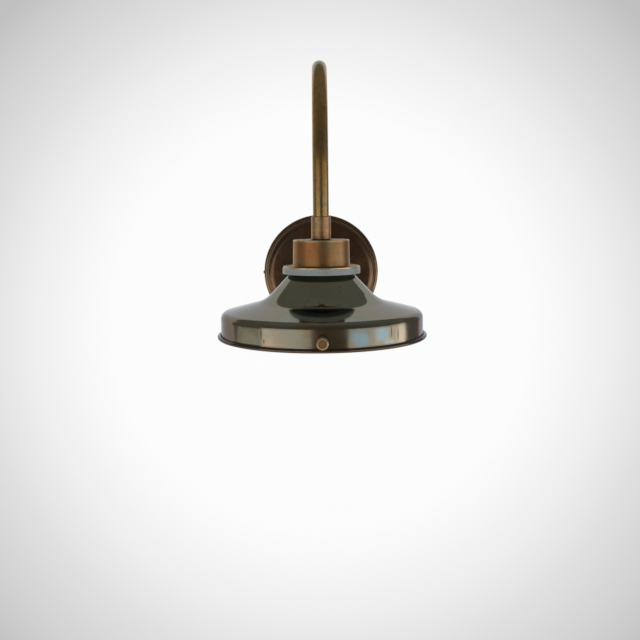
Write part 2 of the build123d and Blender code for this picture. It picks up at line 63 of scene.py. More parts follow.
def rounded(points, radii, arcStep=4):
    # path through the points, with an arc of one radius at each inner corner
    path = [Vector(points[0])]
    for before, corner, after, radius in zip(points, points[1:], points[2:], radii):
        corner = Vector(corner)
        inward = (Vector(before) - corner).normalized()
        outward = (Vector(after) - corner).normalized()
        half = inward.angle(outward) / 2
        centre = corner + (inward + outward).normalized() * radius / math.sin(half)
        first = corner + inward * radius / math.tan(half) - centre
        last = corner + outward * radius / math.tan(half) - centre
        start = math.atan2(first.y, first.x)
        turn = (math.atan2(last.y, last.x) - start + math.pi) % (2 * math.pi) - math.pi
        count = max(3, math.ceil(abs(math.degrees(turn)) / arcStep))
        for i in range(count + 1):
            angle = start + turn * i / count
            path.append(centre + radius * Vector((math.cos(angle), math.sin(angle))))
    path.append(Vector(points[-1]))
    return path


def divided(path, longest):
    # the same path with no stretch longer than the given length
    fine = [path[0]]
    for start, end in zip(path, path[1:]):
        count = max(1, math.ceil((end - start).length / longest))
        fine += [start.lerp(end, i / count) for i in range(1, count + 1)]
    return fine


def shifted(path, distance):
    # the path moved sideways, to its right
    moved = []
    for i, point in enumerate(path):
        along = (path[min(i + 1, len(path) - 1)] - path[max(i - 1, 0)]).normalized()
        moved.append(point + distance * Vector((along.y, -along.x)))
    return moved


def wear(loop, reach):
    # how exposed each point of a closed outline is: 1 on a sharp outer corner, 0 on a flat
    count = len(loop)
    area = sum(a.x * b.y - b.x * a.y for a, b in zip(loop, loop[1:] + loop[:1]))
    side = 1 if area > 0 else -1
    bend = []
    for i, point in enumerate(loop):
        before, after = point - loop[i - 1], loop[(i + 1) % count] - point
        turn = math.atan2(before.x * after.y - before.y * after.x, before.dot(after))
        bend.append(side * turn / max(1e-7, (before.length + after.length) / 2))
    flat, sharp = wearForm["flatBend"], wearForm["sharpBend"]
    own = [min(1, max(0, (b - flat) / (sharp - flat))) for b in bend]
    spread = []
    for i, point in enumerate(loop):
        best = own[i]
        for step in range(-wearForm["neighbours"], wearForm["neighbours"] + 1):
            other = (i + step) % count
            away = (loop[other] - point).length
            best = max(best, own[other] * max(0, 1 - away / reach))
        spread.append(best)
    return spread


def linked(name, data):
    # a new object in the scene
    piece = bpy.data.objects.new(name, data)
    bpy.context.scene.collection.objects.link(piece)
    return piece


def finishMesh(bm, name, turnOut=True):
    # one linked object: doubles merged, round faces smooth, hard edges kept
    bmesh.ops.remove_doubles(bm, verts=bm.verts, dist=meshForm["mergeReach"])
    if turnOut:
        bmesh.ops.recalc_face_normals(bm, faces=bm.faces)
    for face in bm.faces:
        face.smooth = True
    for edge in bm.edges:
        if len(edge.link_faces) == 2 and edge.calc_face_angle(0) > meshForm["sharpAngle"]:
            edge.smooth = False
    mesh = bpy.data.meshes.new(name)
    bm.to_mesh(mesh)
    bm.free()
    return linked(name, mesh)


def startMesh(path):
    # an empty mesh, its wear and UV layers, and the length run up to each point of the path
    bm = bmesh.new()
    runs = [0]
    for start, end in zip(path, path[1:]):
        runs.append(runs[-1] + (end - start).length)
    return bm, bm.verts.layers.float.new("worn"), bm.loops.layers.uv.new("UVMap"), runs


def aroundCircle(segments):
    # cosine and sine at even steps round a circle
    turns = [2 * math.pi * i / segments for i in range(segments)]
    return [(math.cos(turn), math.sin(turn)) for turn in turns]


def addRing(bm, worn, points, amount):
    ring = [bm.verts.new(point) for point in points]
    for vert in ring:
        vert[worn] = amount
    return ring


def addBand(bm, uv, first, second, firstRun, secondRun):
    # faces from one ring to the next; UV u goes round, v is the length run
    count = len(first)
    for i in range(count):
        j = (i + 1) % count
        face = bm.faces.new((first[i], first[j], second[j], second[i]))
        corners = ((i, firstRun), (i + 1, firstRun), (i + 1, secondRun), (i, secondRun))
        for corner, (across, run) in zip(face.loops, corners):
            corner[uv].uv = (across / count, run)


def lathe(name, loop, place, segments=192, wearReach=wearForm["reach"]):
    # a closed outline of (radius, height) points turned round place's Z
    bm, worn, uv, runs = startMesh(loop + loop[:1])
    rings = []
    for point, amount in zip(loop, wear(loop, wearReach)):
        around = [place @ Vector((point.x * cosine, point.x * sine, point.y))
                  for cosine, sine in aroundCircle(segments)]
        rings.append(addRing(bm, worn, around, amount))
    for row, ring in enumerate(rings):
        addBand(bm, uv, ring, rings[(row + 1) % len(rings)], runs[row], runs[row + 1])
    return finishMesh(bm, name)


def sweptTube(name, centres, radius, wall, segments=64):
    # a tube along a path in the YZ plane, open at both ends
    bm, worn, uv, runs = startMesh(centres)
    rings = []
    for i, centre in enumerate(centres):
        along = (centres[min(i + 1, len(centres) - 1)] - centres[max(i - 1, 0)]).normalized()
        across = Vector((1, 0, 0))
        side = along.cross(across)
        for size in (radius, radius - wall):
            around = [centre + size * (cosine * across + sine * side)
                      for cosine, sine in aroundCircle(segments)]
            rings.append(addRing(bm, worn, around, 0))
    for i in range(len(centres) - 1):
        for k in (2 * i, 2 * i + 1):
            addBand(bm, uv, rings[k], rings[k + 2], runs[i], runs[i + 1])
    addBand(bm, uv, rings[0], rings[1], 0, wall)
    addBand(bm, uv, rings[-2], rings[-1], runs[-1], runs[-1] + wall)
    return finishMesh(bm, name)


def smoothCopy(node, name, place):
    # a CAD node's own shape with smooth round faces; UV v is height plus radius at place
    bm = bmesh.new()
    bm.from_mesh(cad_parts[node].data)
    for layer in list(bm.loops.layers.uv):
        bm.loops.layers.uv.remove(layer)
    worn = bm.verts.layers.float.new("worn")
    uv = bm.loops.layers.uv.new("UVMap")
    bmesh.ops.remove_doubles(bm, verts=bm.verts, dist=meshForm["mergeReach"])
    back = place.inverted()
    for vert in bm.verts:
        joined = [edge for edge in vert.link_edges if len(edge.link_faces) == 2]
        bend = max((edge.calc_face_angle_signed(0) for edge in joined), default=0)
        vert[worn] = min(wearForm["copyMost"], max(0, bend / wearForm["copyAngle"]))
    for face in bm.faces:
        for corner in face.loops:
            local = back @ corner.vert.co
            around = math.atan2(local.y, local.x) / math.tau
            corner[uv].uv = (around, local.z + math.hypot(local.x, local.y))
    return finishMesh(bm, name, turnOut=False)


def rodMesh(name, radius, low, high, place):
    corners = [(0, low), (radius, low), (radius, high), (0, high)]
    return lathe(name, [Vector(corner) for corner in corners], place, meshForm["rodSides"])


def drilled(piece, rods):
    # the piece with holes where the rods go through it
    for rod in rods:
        cut = piece.modifiers.new("hole", "BOOLEAN")
        cut.operation, cut.solver, cut.object = "DIFFERENCE", "EXACT", rod
    mesh = evaluatedMesh(piece)
    piece.modifiers.clear()
    name = piece.name
    for used in [piece] + rods:
        bpy.data.objects.remove(used)
    bm = bmesh.new()
    bm.from_mesh(mesh)
    return finishMesh(bm, name, turnOut=False)


def evaluatedMesh(holder):
    # a plain mesh of what the object's modifiers make
    graph = bpy.context.evaluated_depsgraph_get()
    return bpy.data.meshes.new_from_object(holder.evaluated_get(graph), depsgraph=graph)


def dress(piece, node, body, material):
    piece.data.materials.clear()
    piece.data.materials.append(material)
    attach(piece, body)
    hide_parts(node)


# Shader helpers

def fillSockets(tree, node, inputs):
    # each input is a constant, or a socket that is linked
    for name, value in inputs.items():
        if isinstance(value, bpy.types.NodeSocket):
            tree.links.new(value, node.inputs[name])
        else:
            node.inputs[name].default_value = value


def addNode(tree, kind, inputs=None, **settings):
    node = tree.nodes.new("ShaderNode" + kind)
    for name, value in settings.items():
        setattr(node, name, value)
    fillSockets(tree, node, inputs or {})
    return node


def useGroup(tree, group, inputs):
    node = tree.nodes.new("ShaderNodeGroup")
    node.node_tree = group
    fillSockets(tree, node, inputs)
    return node.outputs


def math2(tree, operation, first, second=0.0, third=0.0, clamp=False):
    inputs = {0: first, 1: second, 2: third}
    return addNode(tree, "Math", inputs, operation=operation, use_clamp=clamp).outputs[0]


def times(tree, first, second, clamp=False):
    return math2(tree, "MULTIPLY", first, second, clamp=clamp)


def vectorMath(tree, operation, first, second=(0, 0, 0)):
    return addNode(tree, "VectorMath", {0: first, 1: second}, operation=operation)


def mixColour(tree, factor, first, second):
    return addNode(tree, "Mix", {0: factor, 6: first, 7: second}, data_type="RGBA").outputs[2]


def noise(tree, vector, scale, detail, roughness=0.5):
    inputs = {"Vector": vector, "Scale": scale, "Detail": detail, "Roughness": roughness}
    return addNode(tree, "TexNoise", inputs).outputs[0]


def rangeOf(tree, value, low, high, toLow=0.0, toHigh=1.0):
    inputs = {"Value": value, "From Min": low, "From Max": high, "To Min": toLow, "To Max": toHigh}
    return addNode(tree, "MapRange", inputs, interpolation_type="SMOOTHSTEP").outputs[0]


def rgb(red, green, blue):
    return (red, green, blue, 1.0)


def addSockets(tree, way, sockets):
    # sockets as (name, kind, start value)
    for label, kind, *start in sockets:
        socket = tree.interface.new_socket(name=label, in_out=way, socket_type="NodeSocket" + kind)
        if start:
            socket.default_value = start[0]


def newGroup(name, inputs, outputs):
    group = bpy.data.node_groups.new(name, "ShaderNodeTree")
    addSockets(group, "INPUT", inputs)
    addSockets(group, "OUTPUT", outputs)
    given, out = group.nodes.new("NodeGroupInput"), group.nodes.new("NodeGroupOutput")
    return group, given.outputs, out.inputs


# what the shared effects have in common: noise scales per metre, ranges and strengths
effectForm = {"mottleRoughness": 0.58, "broadRings": 0.17, "breakScale": 45.0, "thinScale": 40.0,
              "thinFull": 0.75, "wobbleScale": 130.0, "wobble": 0.8}
patinaForm = {"coolShift": (0.31, 0.17, 0.53), "filmShift": (0.77, 0.61, 0.19), "warm": (0.42, 0.66),
              "cool": (0.48, 0.7), "film": (0.45, 0.75), "filmFineness": 6.0, "filmDetail": 6.0,
              "ragged": (0.9, 0.1), "leastWorn": 0.35, "filmGloss": 0.6, "wornGloss": -0.05}


def makeMottle():
    # soft patches: a mask from 0 to 1
    group, given, out = newGroup("mottle", [
        ("Vector", "Vector"), ("Scale", "Float"), ("Detail", "Float", 4.0),
        ("Low", "Float"), ("High", "Float")], [("Mask", "Float")])
    rough = effectForm["mottleRoughness"]
    patches = noise(group, given["Vector"], given["Scale"], given["Detail"], rough)
    group.links.new(rangeOf(group, patches, given["Low"], given["High"]), out["Mask"])
    return group


def makeTurned():
    # fine rings that a lathe or spinning tool leaves, by the length along the surface
    group, given, out = newGroup("turnedRings", [
        ("Along", "Float"), ("Spacing", "Float"), ("Vector", "Vector")],
        [("Height", "Float"), ("Streak", "Float")])
    rings = math2(group, "DIVIDE", given["Along"], given["Spacing"])
    fine = addNode(group, "TexNoise", {"W": rings, "Scale": 1.0, "Detail": 3.0}, noise_dimensions="1D")
    broad = times(group, rings, effectForm["broadRings"])
    wide = addNode(group, "TexNoise", {"W": broad, "Scale": 1.0, "Detail": 2.0}, noise_dimensions="1D")
    breakUp = noise(group, given["Vector"], effectForm["breakScale"], 2.0)
    group.links.new(times(group, fine.outputs[0], breakUp), out["Height"])
    group.links.new(wide.outputs[0], out["Streak"])
    return group


def makeSpecks():
    # small dark pits, thinned out by a broad noise
    group, given, out = newGroup("specks", [
        ("Vector", "Vector"), ("Scale", "Float"), ("Size", "Float"), ("Share", "Float")],
        [("Mask", "Float")])
    cells = addNode(group, "TexVoronoi", {"Vector": given["Vector"], "Scale": given["Scale"]})
    spot = rangeOf(group, cells.outputs["Distance"], given["Size"], 0.0)
    where = noise(group, given["Vector"], effectForm["thinScale"], 2.0)
    thin = rangeOf(group, where, given["Share"], effectForm["thinFull"])
    group.links.new(times(group, spot, thin, clamp=True), out["Mask"])
    return group


def makeStain():
    # one soft-edged mark round a point, with an uneven outline; a stretch under 1 makes it longer
    group, given, out = newGroup("stain", [
        ("Vector", "Vector"), ("Centre", "Vector"), ("Stretch", "Vector"),
        ("Radius", "Float"), ("Soft", "Float")], [("Mask", "Float")])
    away = vectorMath(group, "SUBTRACT", given["Vector"], given["Centre"]).outputs[0]
    sized = vectorMath(group, "MULTIPLY", away, given["Stretch"]).outputs[0]
    share = math2(group, "DIVIDE", vectorMath(group, "LENGTH", sized).outputs["Value"], given["Radius"])
    wobble, most = noise(group, given["Vector"], effectForm["wobbleScale"], 3.0), effectForm["wobble"]
    uneven = math2(group, "MULTIPLY_ADD", wobble, most, -most / 2)
    edge = math2(group, "ADD", share, times(group, uneven, given["Soft"]))
    inner = math2(group, "SUBTRACT", 1.0, given["Soft"])
    group.links.new(rangeOf(group, edge, 1.0, inner), out["Mask"])
    return group


def patchesOf(tree, vector, scale, limits, **detail):
    inputs = {"Vector": vector, "Scale": scale, "Low": limits[0], "High": limits[1], **detail}
    return useGroup(tree, mottle, inputs)["Mask"]


def makePatina():
    # aged brass: base metal that drifts to warm and cool tints, dark film, and bright worn edges
    group, given, out = newGroup("patina", [
        ("Vector", "Vector"), ("Scale", "Float"), ("Base", "Color"), ("Warm", "Color"),
        ("Cool", "Color"), ("Film", "Color"), ("Bright", "Color"), ("Worn", "Float"),
        ("Film Share", "Float"), ("Gloss", "Float"), ("Gloss Drift", "Float")],
        [("Color", "Color"), ("Roughness", "Float")])
    form = patinaForm
    moved = vectorMath(group, "ADD", given["Vector"], form["coolShift"]).outputs[0]
    lifted = vectorMath(group, "ADD", given["Vector"], form["filmShift"]).outputs[0]
    smallScale = times(group, given["Scale"], form["filmFineness"])
    warm = patchesOf(group, given["Vector"], given["Scale"], form["warm"])
    cool = patchesOf(group, moved, given["Scale"], form["cool"])
    film = patchesOf(group, lifted, smallScale, form["film"], Detail=form["filmDetail"])
    tone = mixColour(group, warm, given["Base"], given["Warm"])
    tone = mixColour(group, cool, tone, given["Cool"])
    tone = mixColour(group, times(group, film, given["Film Share"]), tone, given["Film"])
    clean = rangeOf(group, film, *form["ragged"], form["leastWorn"], 1.0)
    ragged = times(group, given["Worn"], clean)
    group.links.new(mixColour(group, ragged, tone, given["Bright"]), out["Color"])
    gloss = math2(group, "MULTIPLY_ADD", warm, given["Gloss Drift"], given["Gloss"])
    filmDrift = times(group, given["Gloss Drift"], form["filmGloss"])
    gloss = math2(group, "MULTIPLY_ADD", film, filmDrift, gloss)
    group.links.new(math2(group, "MULTIPLY_ADD", ragged, form["wornGloss"], gloss), out["Roughness"])
    return group


mottle = makeMottle()
turnedRings = makeTurned()
specks = makeSpecks()
stain = makeStain()
patina = makePatina()


def newMaterial(name, **constants):
    # a material with a Principled shader; constants go on the shader's own sockets
    material = bpy.data.materials.new(name)
    material.use_nodes = True
    tree = material.node_tree
    shader = tree.nodes["Principled BSDF"]
    for label, value in constants.items():
        shader.inputs[label.replace("_", " ")].default_value = value
    where = addNode(tree, "TexCoord").outputs["Object"]
    return material, tree, shader, where


def finishShader(tree, shader, colour, roughness, height, depth):
    # colour, roughness and a bump of the given depth in metres
    bump = addNode(tree, "Bump", {"Height": height, "Distance": depth, "Strength": 1.0})
    fillSockets(tree, shader, {
        "Base Color": colour, "Roughness": roughness, "Normal": bump.outputs[0]})


def ringsOf(tree, where, spacing):
    # turned rings by the metres along the turned outline or the tube
    uv = addNode(tree, "UVMap", uv_map="UVMap").outputs[0]
    along = addNode(tree, "SeparateXYZ", {0: uv}).outputs[1]
    return useGroup(tree, turnedRings, {"Along": along, "Spacing": spacing, "Vector": where})


def wornOf(tree):
    return addNode(tree, "Attribute", attribute_name="worn").outputs["Fac"]


def stained(tree, where, tone, mark, strength, colour):
    # the tone with one mark on it: centre, radius, stretch and softness
    inputs = dict(zip(("Centre", "Radius", "Stretch", "Soft"), mark), Vector=where)
    mask = useGroup(tree, stain, inputs)["Mask"]
    return mixColour(tree, times(tree, mask, strength), tone, colour)


def pitted(tree, where, tone, pits, colour):
    # the tone with scattered specks: scale, size, share and strength
    scale, size, share, strength = pits
    inputs = {"Vector": where, "Scale": scale, "Size": size, "Share": share}
    mask = useGroup(tree, specks, inputs)["Mask"]
    return mixColour(tree, times(tree, mask, strength), tone, colour)


# Tones of the aged brass, as linear reflectance
tones = {
    "olive": rgb(0.245, 0.235, 0.155), "umber": rgb(0.16, 0.10, 0.055),
    "copper": rgb(0.31, 0.175, 0.09), "gold": rgb(0.36, 0.255, 0.13),
    "steelBlue": rgb(0.19, 0.27, 0.3), "rose": rgb(0.36, 0.29, 0.21),
    "mist": rgb(0.24, 0.28, 0.27), "bead": rgb(0.105, 0.075, 0.05),
    "film": rgb(0.075, 0.055, 0.035), "bright": rgb(0.62, 0.47, 0.27),
    "rawBrass": rgb(0.74, 0.57, 0.3),
}

# Shade metal. Marks are placed by degrees from the front and mm over the rim
shadeLook = {
    "patchScale": 26.0, "skirtBlend": 2 * mm, "ringSpacing": 0.9 * mm, "ringDepth": 0.003 * mm,
    "beadHigh": 3.4 * mm, "beadBlend": 0.6 * mm, "edgeTint": rgb(0.55, 0.56, 0.62), "coat": 0.12,
    "coatRoughness": 0.03, "pits": (420.0, 0.16, 0.58, 0.6), "markSoft": 0.75,
    "lineHalfWidth": 0.75 * mm, "lineSoft": 0.45, "lineStrength": 0.95, "fleckSoft": 0.8,
    "fleckStrength": 0.85,
    "flare": {"Base": tones["olive"], "Warm": rgb(0.25, 0.22, 0.13), "Cool": rgb(0.22, 0.245, 0.18),
              "Film Share": 0.2, "Gloss": 0.07, "Gloss Drift": 0.03},
    "skirt": {"Base": rgb(0.2, 0.175, 0.12), "Warm": rgb(0.225, 0.165, 0.1),
              "Cool": rgb(0.18, 0.185, 0.14), "Film Share": 0.4, "Gloss": 0.13, "Gloss Drift": 0.06},
}
# turn, height, radius in mm, stretch in height, tone, strength: heat tints and darker patches on the
# skirt, with a painted reflection of the dark room in front
heatTintAndReflectionMarks = [
    (19, 9, 11, 1.1, "steelBlue", 0.85), (33, 12, 10, 1.2, "steelBlue", 0.8),
    (37, 4, 8, 1.5, "mist", 0.7), (47, 10, 9, 0.6, "rose", 0.8), (-20, 12, 22, 0.8, "rose", 0.3),
    # the umber mark at turn 4 is a painted reflection of the dark room in front of the shade
    (-42, 6, 14, 1.0, "olive", 0.6), (4, 9, 14, 0.6, "umber", 0.55), (-62, 8, 20, 1.0, "umber", 0.55),
    (66, 9, 12, 0.7, "copper", 0.5), (-28, 4, 12, 2.0, "copper", 0.4), (14, 4, 9, 1.6, "copper", 0.5),
]
# turn, low and high of thin dark lines on the skirt, painted reflections of edges
reflectedEdgeLines = [(-33.2, 7, 18), (38.6, 7, 18), (-31.5, 5, 9), (43.5, 4, 16)]
# turn, height, stretch, radius in mm: one streak and some flecks on the front of the flare
flareFlecks = [
    (24, 43.5, (1, 1, 0.25), 0.9), (22, 39.5, (1, 1, 0.3), 0.8), (-15.3, 33.8, (0.6, 1, 1), 1.0),
    (-15.8, 30, (0.5, 1, 1), 1.2), (16, 30.6, (0.6, 1, 1), 1.1), (-2.5, 32.8, (0.5, 1, 1), 0.8),
    (-13.5, 28.8, (0.6, 1, 1), 0.8), (9, 33, (0.7, 1, 1), 0.5),
]


def shadePoint(turn, rise):
    # point on the shade's outer face, by degrees from the front and height over the rim
    outline = shadeOutline()
    level, around = rimHeight + rise, math.radians(turn)
    above, below = next((a, b) for a, b in zip(outline, outline[1:]) if a.y >= level > b.y)
    reach = above.x + (below.x - above.x) * (above.y - level) / (above.y - below.y)
    return (reach * math.sin(around), lampY - reach * math.cos(around), level)


def shadeBrass(shoulderHeight):
    # glossy spun metal: even olive on the flare, heat-tinted patches on the skirt, a painted reflection
    # of the dark room at the skirt's front, and thin dark lines that are painted reflections of edges
    look = shadeLook
    material, tree, shader, where = newMaterial(
        "shadeBrass", Metallic=1.0, Specular_Tint=look["edgeTint"], Coat_Weight=look["coat"],
        Coat_Roughness=look["coatRoughness"])
    height = addNode(tree, "SeparateXYZ", {0: where}).outputs[2]
    blend, beadHigh = look["skirtBlend"], rimHeight + look["beadHigh"]
    onSkirt = rangeOf(tree, height, shoulderHeight + blend, shoulderHeight - blend)
    shared = {"Vector": where, "Scale": look["patchScale"], "Film": tones["umber"],
              "Bright": tones["rose"], "Worn": wornOf(tree)}
    flare = useGroup(tree, patina, {**shared, **look["flare"]})
    skirt = useGroup(tree, patina, {**shared, **look["skirt"]})
    skirtTone = skirt["Color"]
    # heat tints, darker patches and the painted reflection at the skirt's front
    for turn, rise, radius, stretch, tone, strength in heatTintAndReflectionMarks:
        mark = shadePoint(turn, rise * mm), radius * mm, (1, 1, stretch), look["markSoft"]
        skirtTone = stained(tree, where, skirtTone, mark, strength, tones[tone])
    halfWidth = look["lineHalfWidth"]
    # thin dark lines on the skirt: painted reflections of edges
    for turn, low, high in reflectedEdgeLines:
        centre = shadePoint(turn, (low + high) / 2 * mm)
        mark = centre, halfWidth, (1, 1, 2 * halfWidth / ((high - low) * mm)), look["lineSoft"]
        skirtTone = stained(tree, where, skirtTone, mark, look["lineStrength"], tones["film"])
    onBead = rangeOf(tree, height, beadHigh, beadHigh - look["beadBlend"])
    skirtTone = mixColour(tree, onBead, skirtTone, tones["bead"])
    tone = mixColour(tree, onSkirt, flare["Color"], skirtTone)
    for turn, rise, stretch, radius in flareFlecks:
        mark = shadePoint(turn, rise * mm), radius * mm, stretch, look["fleckSoft"]
        tone = stained(tree, where, tone, mark, look["fleckStrength"], tones["film"])
    tone = pitted(tree, where, tone, look["pits"], tones["film"])
    rough = mixColour(tree, onSkirt, flare["Roughness"], skirt["Roughness"])
    rings = ringsOf(tree, where, look["ringSpacing"])
    finishShader(tree, shader, tone, rough, rings["Height"], look["ringDepth"])
    return material


# Satin aged brass. spacing and depth are those of its turned rings
agedForm = {"edgeTint": rgb(0.75, 0.72, 0.68), "coatRoughness": 0.12, "streak": (0.35, 0.65, 0.0, 0.35),
            "streakWarmth": 0.55, "pits": (600.0, 0.2, 0.5, 0.8)}
agedLooks = {
    "plateBrass": {
        "spacing": 0.6 * mm, "depth": 0.004 * mm, "coat": 0.12,
        "metal": {"Base": rgb(0.15, 0.083, 0.046), "Warm": rgb(0.19, 0.1, 0.052),
                  "Cool": rgb(0.105, 0.072, 0.046), "Bright": tones["gold"], "Scale": 18.0,
                  "Gloss": 0.2, "Gloss Drift": 0.1, "Film Share": 0.4}},
    "armBrass": {
        "spacing": 3 * mm, "depth": 0.004 * mm, "coat": 0.12,
        "metal": {"Base": rgb(0.39, 0.24, 0.085), "Warm": rgb(0.41, 0.22, 0.065),
                  "Cool": rgb(0.29, 0.225, 0.11), "Bright": tones["gold"], "Scale": 38.0,
                  "Gloss": 0.24, "Gloss Drift": 0.08, "Film Share": 0.5}},
    "capBrass": {
        "spacing": 0.35 * mm, "depth": 0.006 * mm, "coat": 0.08,
        "metal": {"Base": rgb(0.3, 0.165, 0.066), "Warm": rgb(0.3, 0.125, 0.04),
                  "Cool": rgb(0.25, 0.17, 0.08), "Bright": tones["bright"], "Scale": 40.0,
                  "Gloss": 0.32, "Gloss Drift": 0.07, "Film Share": 0.3}},
}


def agedBrass(name):
    look, form = agedLooks[name], agedForm
    material, tree, shader, where = newMaterial(
        name, Metallic=1.0, Specular_Tint=form["edgeTint"], Coat_Weight=look["coat"],
        Coat_Roughness=form["coatRoughness"])
    shared = {"Vector": where, "Film": tones["film"], "Worn": wornOf(tree)}
    aged = useGroup(tree, patina, {**shared, **look["metal"]})
    rings = ringsOf(tree, where, look["spacing"])
    streak = rangeOf(tree, rings["Streak"], *form["streak"])
    warmer = mixColour(tree, form["streakWarmth"], aged["Color"], look["metal"]["Warm"])
    tone = mixColour(tree, streak, aged["Color"], warmer)
    tone = pitted(tree, where, tone, form["pits"], tones["film"])
    finishShader(tree, shader, tone, aged["Roughness"], rings["Height"], look["depth"])
    return material


# Machined or plated metal. brushed stretches the grain along one axis
plainForm = {"patches": (0.4, 0.7), "grainScale": 900.0, "grainDepth": 0.01 * mm, "worn": 0.6,
             "wornLift": 0.35, "patchRoughness": 0.14, "grainRoughness": 0.12}
plainLooks = {
    "plainBrass": {"base": tones["rawBrass"], "dark": rgb(0.5, 0.36, 0.17), "rough": 0.22,
                   "scale": 90.0, "brushed": (1, 1, 0.05)},
    "zincSteel": {"base": rgb(0.6, 0.6, 0.58), "dark": rgb(0.42, 0.4, 0.34), "rough": 0.3,
                  "scale": 70.0, "brushed": (0.08, 1, 1)},
    "nickelPlate": {"base": rgb(0.68, 0.65, 0.58), "dark": rgb(0.5, 0.46, 0.4), "rough": 0.2,
                    "scale": 110.0, "brushed": (1, 1, 1)},
}


def plainMetal(name):
    # fine brushing, dull patches and brighter edges
    look, form = plainLooks[name], plainForm
    material, tree, shader, where = newMaterial(name, Metallic=1.0)
    patches = patchesOf(tree, where, look["scale"], form["patches"])
    stretched = addNode(tree, "Mapping", {"Vector": where, "Scale": look["brushed"]}).outputs[0]
    grain = noise(tree, stretched, form["grainScale"], 2.0)
    worn = times(tree, wornOf(tree), form["worn"])
    lifted = mixColour(tree, form["wornLift"], look["base"], rgb(1, 1, 1))
    tone = mixColour(tree, worn, mixColour(tree, patches, look["base"], look["dark"]), lifted)
    drift = math2(tree, "MULTIPLY_ADD", patches, form["patchRoughness"], look["rough"])
    rough = math2(tree, "MULTIPLY_ADD", grain, form["grainRoughness"], drift)
    finishShader(tree, shader, tone, rough, grain, form["grainDepth"])
    return material


# Moulded rubber, plastic, lead insulation and ceramic
softForm = {"patchScale": 120.0, "patches": (0.42, 0.68), "shadow": 0.6, "worn": 0.3, "wornLift": 0.3,
            "wornTone": rgb(0.8, 0.8, 0.78), "patchRoughness": 0.12,
            "dust": (700.0, 0.22, 0.5, 0.35), "dustTone": rgb(0.6, 0.58, 0.53)}
# tone, shadow tone, roughness, scale and depth of the grain
softLooks = {
    "ringRubber": (rgb(0.24, 0.275, 0.265), rgb(0.19, 0.22, 0.215), 0.4, 900.0, 0.01 * mm),
    "clearSilicone": (rgb(0.62, 0.63, 0.6), rgb(0.5, 0.5, 0.47), 0.4, 700.0, 0.01 * mm),
    "whiteNylon": (rgb(0.72, 0.71, 0.66), rgb(0.6, 0.58, 0.52), 0.38, 500.0, 0.01 * mm),
    "steatite": (rgb(0.74, 0.71, 0.64), rgb(0.6, 0.56, 0.48), 0.55, 1200.0, 0.03 * mm),
    "brownLead": (rgb(0.14, 0.06, 0.025), rgb(0.09, 0.04, 0.02), 0.42, 800.0, 0.01 * mm),
    "blueLead": (rgb(0.03, 0.1, 0.36), rgb(0.02, 0.07, 0.24), 0.42, 800.0, 0.01 * mm),
    "greenLead": (rgb(0.09, 0.33, 0.06), rgb(0.4, 0.38, 0.05), 0.42, 800.0, 0.01 * mm),
}


def softMaterial(name):
    # fine grain, faint handling marks and dust
    form = softForm
    base, shadow, roughness, grainScale, grainDepth = softLooks[name]
    material, tree, shader, where = newMaterial(name)
    patches = patchesOf(tree, where, form["patchScale"], form["patches"])
    tone = mixColour(tree, times(tree, patches, form["shadow"]), base, shadow)
    tone = pitted(tree, where, tone, form["dust"], form["dustTone"])
    lifted = mixColour(tree, form["wornLift"], base, form["wornTone"])
    tone = mixColour(tree, times(tree, wornOf(tree), form["worn"]), tone, lifted)
    rough = math2(tree, "MULTIPLY_ADD", patches, form["patchRoughness"], roughness)
    finishShader(tree, shader, tone, rough, noise(tree, where, grainScale, 3.0), grainDepth)
    return material


# Glass with a frosted or smoky unevenness
glassForm = {"ior": 1.48, "patchScale": 35.0, "patches": (0.35, 0.7), "smoke": rgb(0.6, 0.6, 0.55),
             "smokeShare": 0.12, "patchShare": 0.5, "patchRoughness": 0.06, "grainScale": 1400.0}
glassLooks = {
    "frostedGlass": {"tint": rgb(0.93, 0.95, 0.94), "rough": 0.42, "frost": 0.02 * mm},
    "lampGlass": {"tint": rgb(0.97, 0.97, 0.96), "rough": 0.03, "frost": 0.002 * mm},
}


def clearGlass(name):
    look, form = glassLooks[name], glassForm
    material, tree, shader, where = newMaterial(name, Transmission_Weight=1.0, IOR=form["ior"])
    patches = patchesOf(tree, where, form["patchScale"], form["patches"])
    smoky = mixColour(tree, form["smokeShare"], look["tint"], form["smoke"])
    tone = mixColour(tree, times(tree, patches, form["patchShare"]), look["tint"], smoky)
    rough = math2(tree, "MULTIPLY_ADD", patches, form["patchRoughness"], look["rough"])
    grain = noise(tree, where, form["grainScale"], 2.0)
    finishShader(tree, shader, tone, rough, grain, look["frost"])
    return material


# Wall plate: a flat front disc on a stepped, rounded flange
plateForm = {"radius": 62.5 * mm, "stepRadius": 58.6 * mm, "depth": 17 * mm, "flangeDepth": 9 * mm,
             "edgeRound": 7 * mm, "creaseRound": 0.4 * mm, "flangeRound": 3 * mm, "sheet": 1.2 * mm,
             "holeRadius": 5.15 * mm, "screwHole": 1.65 * mm, "screwReach": 4.4 * mm,
             "drillIn": 4 * mm, "drillOut": 1 * mm, "step": 1.5 * mm, "sides": 256}


def makePlate():
    form = plateForm
    outer = rounded([(form["holeRadius"], form["depth"]), (form["stepRadius"], form["depth"]),
                     (form["stepRadius"], form["flangeDepth"]), (form["radius"], form["flangeDepth"]),
                     (form["radius"], 0)], [form["edgeRound"], form["creaseRound"], form["flangeRound"]])
    outer = divided(outer, form["step"])
    inner = shifted(outer, form["sheet"])
    disc = lathe("wallPlate", outer + inner[::-1], onWall, form["sides"])
    centre = onWall @ Matrix.Translation((0, 0, form["screwReach"]))
    across = [centre @ Matrix.Rotation(turn, 4, "Y") for turn in (math.pi / 2, -math.pi / 2)]
    low, high = form["radius"] - form["drillIn"], form["radius"] + form["drillOut"]
    return drilled(disc, [rodMesh("hole", form["screwHole"], low, high, place) for place in across])


